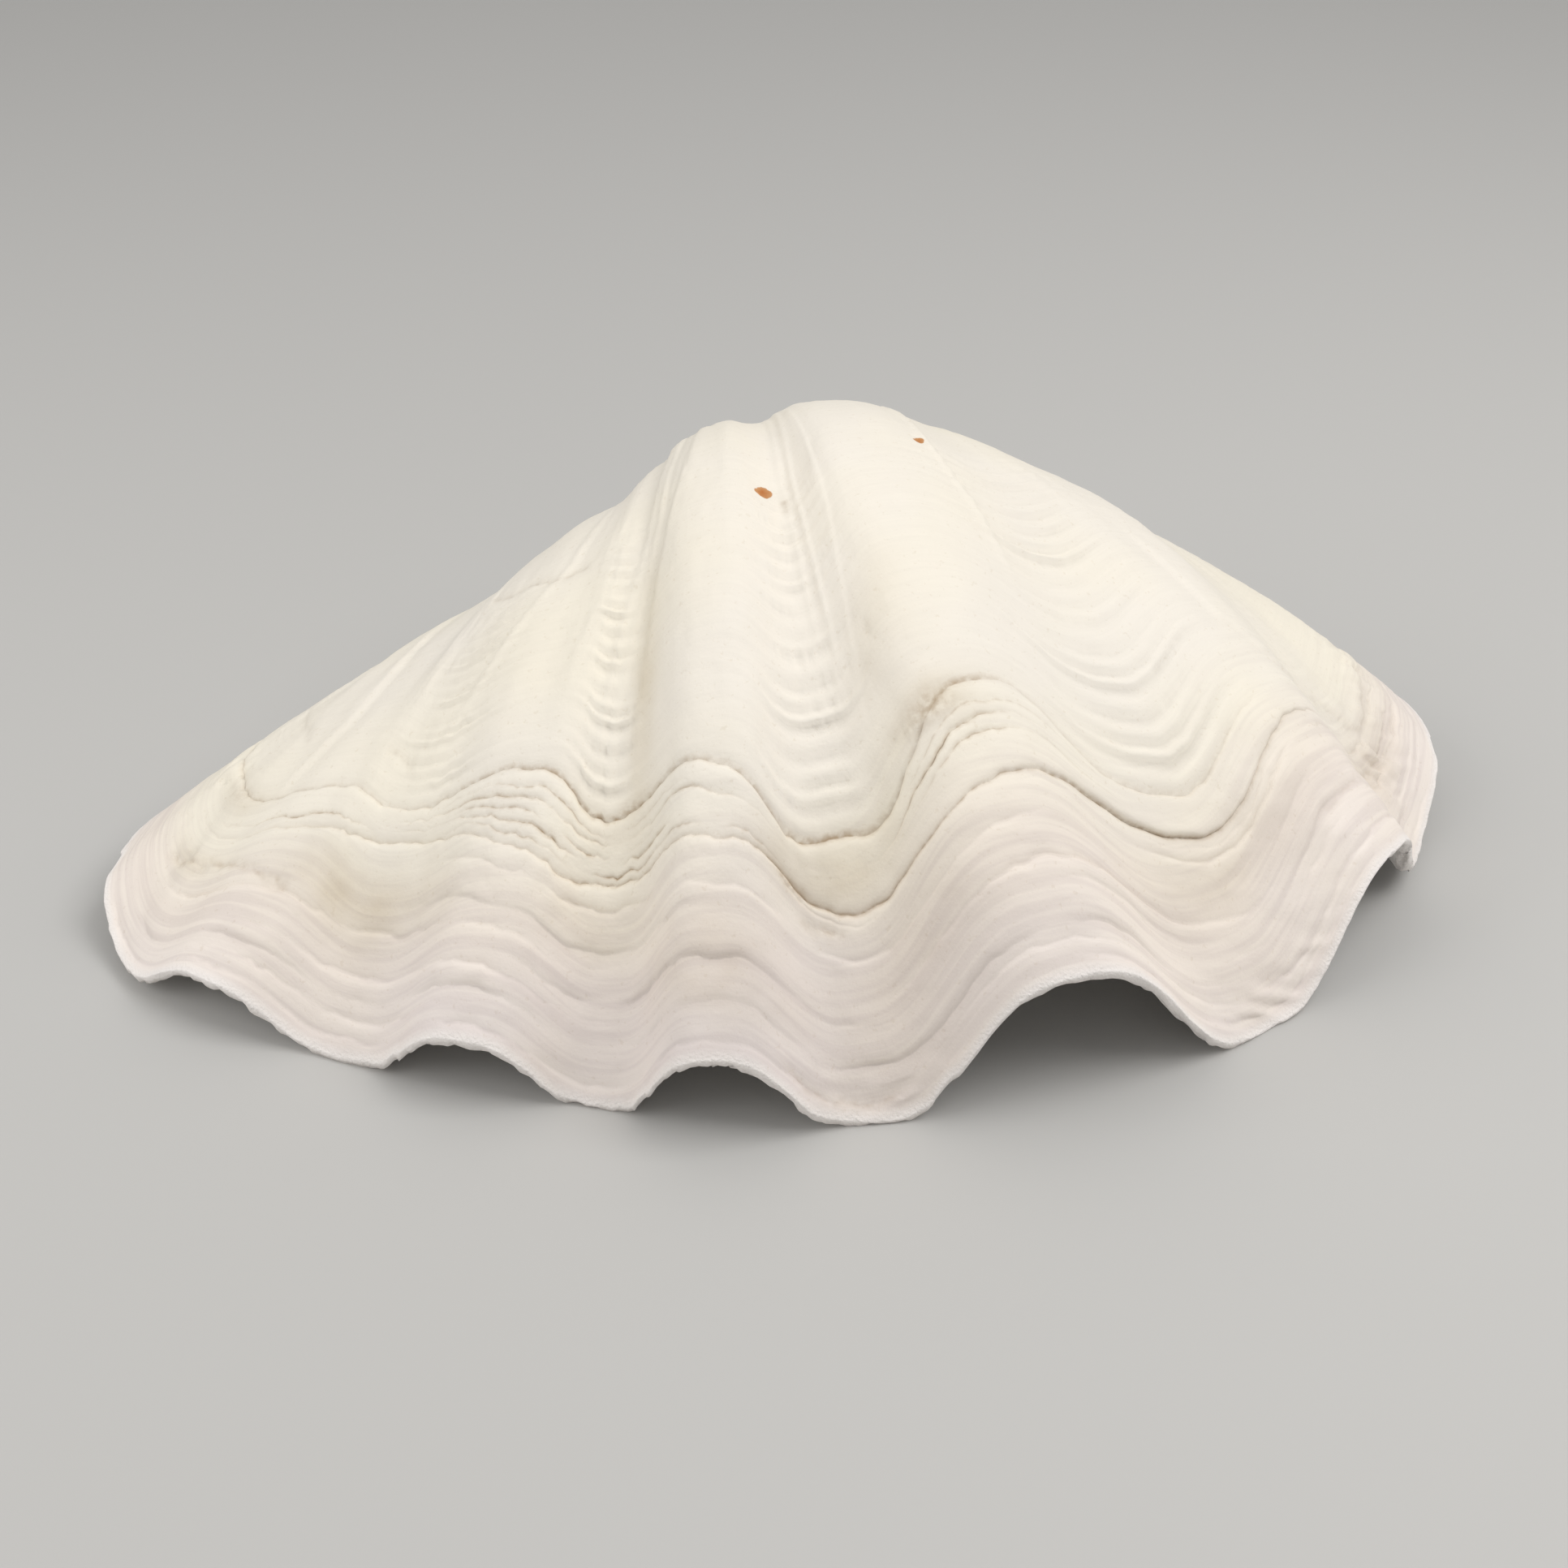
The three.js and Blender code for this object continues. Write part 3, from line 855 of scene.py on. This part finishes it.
UMBO_CREAM = (0.88, 0.83, 0.72, 1.0)
BODY_CREAM = (0.87, 0.82, 0.72, 1.0)
BAND_CREAM = (0.88, 0.83, 0.73, 1.0)
MARGIN_WHITE = (0.86, 0.785, 0.72, 1.0)
EDGE_WHITE = (0.88, 0.81, 0.76, 1.0)
RIM_WHITE = (0.89, 0.84, 0.80, 1.0)
PORCELAIN = (0.87, 0.84, 0.78, 1.0)
PORCELAIN_EDGE = (0.88, 0.84, 0.80, 1.0)
PALLIAL_LINE = (0.80, 0.76, 0.69, 1.0)
MUSCLE_SCAR = (0.82, 0.77, 0.69, 1.0)
# Brown of dirt, which also stands in for shade in the growth lines' cracks
DIRT_AND_CRACK_SHADE_BROWN = (0.40, 0.29, 0.18, 1.0)
STAIN_TINT = (0.80, 0.76, 0.68, 1.0)
WARM_TINT = (1.0, 0.985, 0.95, 1.0)
COOL_TINT = (0.985, 0.975, 0.985, 1.0)
BAND_SHADE = (0.915, 0.905, 0.915, 1.0)
SPECK_SHADE = (0.94, 0.925, 0.90, 1.0)
PIT_ORANGE = (0.48, 0.17, 0.045, 1.0)
PIT_DARK = (0.20, 0.10, 0.05, 1.0)
PIT_RIM = (0.55, 0.27, 0.11, 1.0)
PIT_RAGGED = 0.4
# Thin torn layers over the whole of growth, how far they wander and how ragged they are
LAYERS = 240.0
LAYER_WANDER = 8.0
LAYER_TEAR = 0.9
# Orange pits: margin point, growth stage, radius in metres
ORANGE_PITS = [(10.75, 0.61, 0.0042), (12.55, 0.60, 0.0027)]
# The muscle scar in the hollow: margin point, growth stage, radius in metres, and its soft border's share
SCAR_PLACE = (12.0, 0.62)
SCAR_RADIUS = 0.034
SCAR_BORDER = 0.12
# The line in the hollow where the mantle was fixed: growth stage and half-width
PALLIAL_STAGE = 0.80
PALLIAL_HALF_WIDTH = 0.008
OUTSIDE_ROUGHNESS = 0.6
HOLLOW_ROUGHNESS = 0.38
SPECULAR = 0.25
# Streaks along the growth lines: metres of growth shown for each metre along
GROWTH_STRETCH = 11.0
# Noises of the paint: scale and detail
STREAK_NOISE = (40.0, 3.0)
BAND_NOISE = (13.0, 4.0)
PATCH_NOISE = (9.0, 2.0)
CLOUD_NOISE = (60.0, 3.0)
SPECK_NOISE = (260.0, 3.0)
CHALK_NOISE = (430.0, 2.0)
GRAIN_NOISE = (700.0, 2.0)
# Colours by growth stage
GROWTH_COLOURS = [
    (0.3, UMBO_CREAM),
    (0.7, BODY_CREAM),
    (0.86, BAND_CREAM),
    (0.93, MARGIN_WHITE),
    (1.0, EDGE_WHITE),
]
# Shades by the strength of a noise
PATCH_TINTS = [(0.38, COOL_TINT), (0.62, WARM_TINT)]
STREAK_SHADES = [(0.3, grey(0.98)), (0.6, grey(1.0))]
BAND_SHADES = [(0.40, BAND_SHADE), (0.56, grey(1.0))]
CHALK_SHADES = [(0.27, SPECK_SHADE), (0.36, grey(1.0))]
DIRT_AND_SHADE_SHARES = [(0.35, grey(0.25)), (0.6, grey(1.0))]
STAIN_SHARES = [(0.30, grey(0.55)), (0.7, grey(1.0))]
# How strongly the bands show, by growth stage
BANDS_SHOW = [(0.80, grey(0.08)), (0.92, grey(1.0))]
# Painted shade, darker where the relief sinks into grooves and hollows: the relief's depth in millimetres
# from its darkest to its palest, and the shades on the way
PAINTED_SHADE_DEPTHS = (-2.5, 0.8)
PAINTED_GROOVE_SHADES = [(0.0, grey(0.90)), (0.7, grey(1.0))]
# An orange pit, by the distance from its middle in diameters, made ragged
PIT_SHARES = [(0.66, grey(1.0)), (0.72, grey(0.0))]
PIT_COLOURS = [(0.32, PIT_DARK), (0.40, PIT_ORANGE), (0.6, PIT_RIM)]
# Fine roughness of the surface: strength, and depth in metres
LAYER_BUMP = (0.35, 0.0006)
STREAK_BUMP = (0.03, 0.001)
CHALK_BUMP = (0.16, 0.0006)
GRAIN_BUMP = (0.18, 0.0005)
RIM_BUMP = (0.7, 0.001)


def shell_material():
    """The shell's paint, made of noises and of what the mesh says about growth, dirt with painted crack
    shade, the relief's depth for painted shade, and stains.
    """
    material = bpy.data.materials.new("clam_shell")
    material.use_nodes = True
    tree = material.node_tree
    tree.nodes.clear()
    growth = attribute(tree, "growth")
    position = node(tree, "ShaderNodeTexCoord").outputs["Object"]
    split = node(tree, "ShaderNodeSeparateXYZ", {"Vector": position})
    lift = node(tree, "ShaderNodeMath", {0: growth, 1: GROWTH_STRETCH}, operation="MULTIPLY").outputs[0]
    lengthwise = node(
        tree, "ShaderNodeCombineXYZ", {"X": split.outputs["X"], "Y": split.outputs["Y"], "Z": lift}
    ).outputs["Vector"]

    def noise_at(place, scale, detail):
        inputs = {"Vector": place, "Scale": scale, "Detail": detail}
        return node(tree, "ShaderNodeTexNoise", inputs).outputs["Fac"]

    def distance_from(middle):
        inputs = {0: position, 1: middle}
        return node(tree, "ShaderNodeVectorMath", inputs, operation="DISTANCE").outputs["Value"]

    streaks = noise_at(lengthwise, *STREAK_NOISE)
    bands = noise_at(lengthwise, *BAND_NOISE)
    patches = noise_at(position, *PATCH_NOISE)
    clouds = noise_at(position, *CLOUD_NOISE)
    specks = noise_at(position, *SPECK_NOISE)
    chalk = noise_at(position, *CHALK_NOISE)
    grain = noise_at(position, *GRAIN_NOISE)

    def combine(operation, first, second, third=0.0):
        return node(tree, "ShaderNodeMath", {0: first, 1: second, 2: third}, operation=operation).outputs[0]

    def shaded(under, shade):
        return mix_colour(tree, 1.0, under, shade, "MULTIPLY")

    # Thin torn layers: growth wandering with noise, cut into steps
    wander = combine("MULTIPLY_ADD", specks, LAYER_TEAR, combine("MULTIPLY", clouds, LAYER_WANDER))
    layer_count = combine("MULTIPLY_ADD", growth, LAYERS, wander)
    layer_step = combine("MULTIPLY", combine("FRACT", layer_count, 0.0), attribute(tree, "layers"))

    # The outside: cream to white with growth, tinted and shaded, with painted shade in the relief's grooves
    # and hollows
    colour = ramp(tree, growth, GROWTH_COLOURS)
    colour = shaded(colour, ramp(tree, patches, PATCH_TINTS))
    colour = shaded(colour, ramp(tree, streaks, STREAK_SHADES))
    banded = shaded(colour, ramp(tree, bands, BAND_SHADES))
    colour = mix_colour(tree, ramp(tree, growth, BANDS_SHOW), colour, banded)
    colour = shaded(colour, ramp(tree, chalk, CHALK_SHADES))
    # Painted shade: the colour darkens where the relief sinks, in grooves, ripple troughs and hollows
    deepest, highest = PAINTED_SHADE_DEPTHS
    depths = {"Value": attribute(tree, "painted_shade_depth"), "From Min": deepest, "From Max": highest}
    painted_shade_depth = node(tree, "ShaderNodeMapRange", depths)
    colour = shaded(colour, ramp(tree, painted_shade_depth.outputs["Result"], PAINTED_GROOVE_SHADES))

    # The pale rim, stains, dirt with painted shade in the cracks, and orange pits
    rim = attribute(tree, "rim")
    colour = mix_colour(tree, rim, colour, RIM_WHITE)
    uneven = ramp(tree, specks, DIRT_AND_SHADE_SHARES)
    cloudy = ramp(tree, clouds, STAIN_SHARES)
    stained = shaded(colour, STAIN_TINT)
    colour = mix_colour(tree, combine("MULTIPLY", attribute(tree, "stain"), cloudy), colour, stained)
    # Brown dirt, partly painted shade in the growth lines' cracks
    colour = mix_colour(tree, combine("MULTIPLY", attribute(tree, "dirt_and_crack_shade"), uneven), colour, DIRT_AND_CRACK_SHADE_BROWN)
    for place, stage, radius in ORANGE_PITS:
        middle = coil(np.array(place), np.array(stage)) * MILLIMETRE
        from_middle = combine("DIVIDE", distance_from(middle), 2 * radius)
        in_pit = combine("MULTIPLY_ADD", specks, PIT_RAGGED, from_middle)
        core = ramp(tree, in_pit, PIT_COLOURS)
        colour = mix_colour(tree, ramp(tree, in_pit, PIT_SHARES), colour, core)

    # The hollow: porcelain with the mantle's line and the muscle scar
    in_hollow = attribute(tree, "hollow")
    porcelain = ramp(
        tree,
        growth,
        [
            (PALLIAL_STAGE - PALLIAL_HALF_WIDTH, PORCELAIN),
            (PALLIAL_STAGE, PALLIAL_LINE),
            (PALLIAL_STAGE + PALLIAL_HALF_WIDTH, PORCELAIN_EDGE),
        ],
    )
    scar_place, scar_stage = SCAR_PLACE
    middle = inside(np.array([scar_place]), np.array([scar_stage]))[0] * MILLIMETRE
    scar = ramp(
        tree,
        combine("DIVIDE", distance_from(middle), SCAR_RADIUS),
        [(1 - SCAR_BORDER, grey(1.0)), (1.0, grey(0.0))],
    )
    porcelain = mix_colour(tree, scar, porcelain, MUSCLE_SCAR)
    colour = mix_colour(tree, in_hollow, colour, porcelain)
    roughness = ramp(tree, in_hollow, [(0.0, grey(OUTSIDE_ROUGHNESS)), (1.0, grey(HOLLOW_ROUGHNESS))])

    # Fine roughness, one kind over the other
    bumps = [
        (layer_step, LAYER_BUMP),
        (streaks, STREAK_BUMP),
        (chalk, CHALK_BUMP),
        (grain, GRAIN_BUMP),
        (combine("MULTIPLY", grain, rim), RIM_BUMP),
    ]
    relief = node(tree, "ShaderNodeNewGeometry").outputs["Normal"]
    for height, (strength, distance) in bumps:
        inputs = {"Height": height, "Strength": strength, "Distance": distance, "Normal": relief}
        relief = node(tree, "ShaderNodeBump", inputs).outputs["Normal"]
    surface = node(
        tree,
        "ShaderNodeBsdfPrincipled",
        {"Base Color": colour, "Roughness": roughness, "Specular IOR Level": SPECULAR, "Normal": relief},
    )
    output = node(tree, "ShaderNodeOutputMaterial")
    tree.links.new(surface.outputs["BSDF"], output.inputs["Surface"])
    return material


FLOOR_SIZE = 12.0
FLOOR_COLOUR = (0.52, 0.51, 0.49, 1.0)
FLOOR_ROUGHNESS = 0.7


def build_floor():
    mesh = bpy.data.meshes.new("floor")
    half = FLOOR_SIZE / 2
    corners = [(-half, -half, 0), (half, -half, 0), (half, half, 0), (-half, half, 0)]
    mesh.from_pydata(corners, [], [(0, 1, 2, 3)])
    floor = bpy.data.objects.new("floor", mesh)
    bpy.context.collection.objects.link(floor)
    material = bpy.data.materials.new("pale_floor")
    material.use_nodes = True
    shader = material.node_tree.nodes["Principled BSDF"]
    shader.inputs["Base Color"].default_value = FLOOR_COLOUR
    shader.inputs["Roughness"].default_value = FLOOR_ROUGHNESS
    mesh.materials.append(material)


# Soft lights: place, size, power
LIGHTS = {
    "key": ((1.0, -0.4, 1.7), 1.2, 20.5),
    "side": ((-1.6, -0.2, 1.0), 1.4, 11.0),
    "top": ((0.1, 0.5, 1.9), 1.6, 2.5),
}
LIGHT_AIM = Vector((0.0, 0.0, 0.08))
SURROUND = 0.5


def add_lights():
    for name, (place, size, power) in LIGHTS.items():
        data = bpy.data.lights.new(name, "AREA")
        data.energy = power
        data.size = size
        lamp = bpy.data.objects.new(name, data)
        lamp.location = place
        lamp.rotation_euler = (LIGHT_AIM - Vector(place)).to_track_quat("-Z", "Y").to_euler()
        bpy.context.collection.objects.link(lamp)
    world = bpy.data.worlds.new("studio")
    world.use_nodes = True
    world.node_tree.nodes["Background"].inputs["Color"].default_value = grey(1.0)
    world.node_tree.nodes["Background"].inputs["Strength"].default_value = SURROUND
    bpy.context.scene.world = world


CAMERA_AIM = Vector((0.001, 0.062, -0.0025))
CAMERA_DISTANCE = 1.091
CAMERA_ELEVATION = math.radians(35)
CAMERA_AZIMUTH = math.radians(8.6)
CAMERA_ANGLE = math.radians(40)


def add_camera():
    data = bpy.data.cameras.new("camera")
    data.angle = CAMERA_ANGLE
    camera = bpy.data.objects.new("camera", data)
    level = CAMERA_DISTANCE * math.cos(CAMERA_ELEVATION)
    offset = Vector((
        -level * math.sin(CAMERA_AZIMUTH),
        -level * math.cos(CAMERA_AZIMUTH),
        CAMERA_DISTANCE * math.sin(CAMERA_ELEVATION),
    ))
    camera.location = CAMERA_AIM + offset
    camera.rotation_euler = (-offset).to_track_quat("-Z", "Y").to_euler()
    bpy.context.collection.objects.link(camera)
    bpy.context.scene.camera = camera


valve = build_valve()
valve.data.materials.append(shell_material())
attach(valve, "root")
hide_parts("valve")
build_floor()
add_lights()
add_camera()
bpy.context.scene.view_settings.view_transform = "Standard"
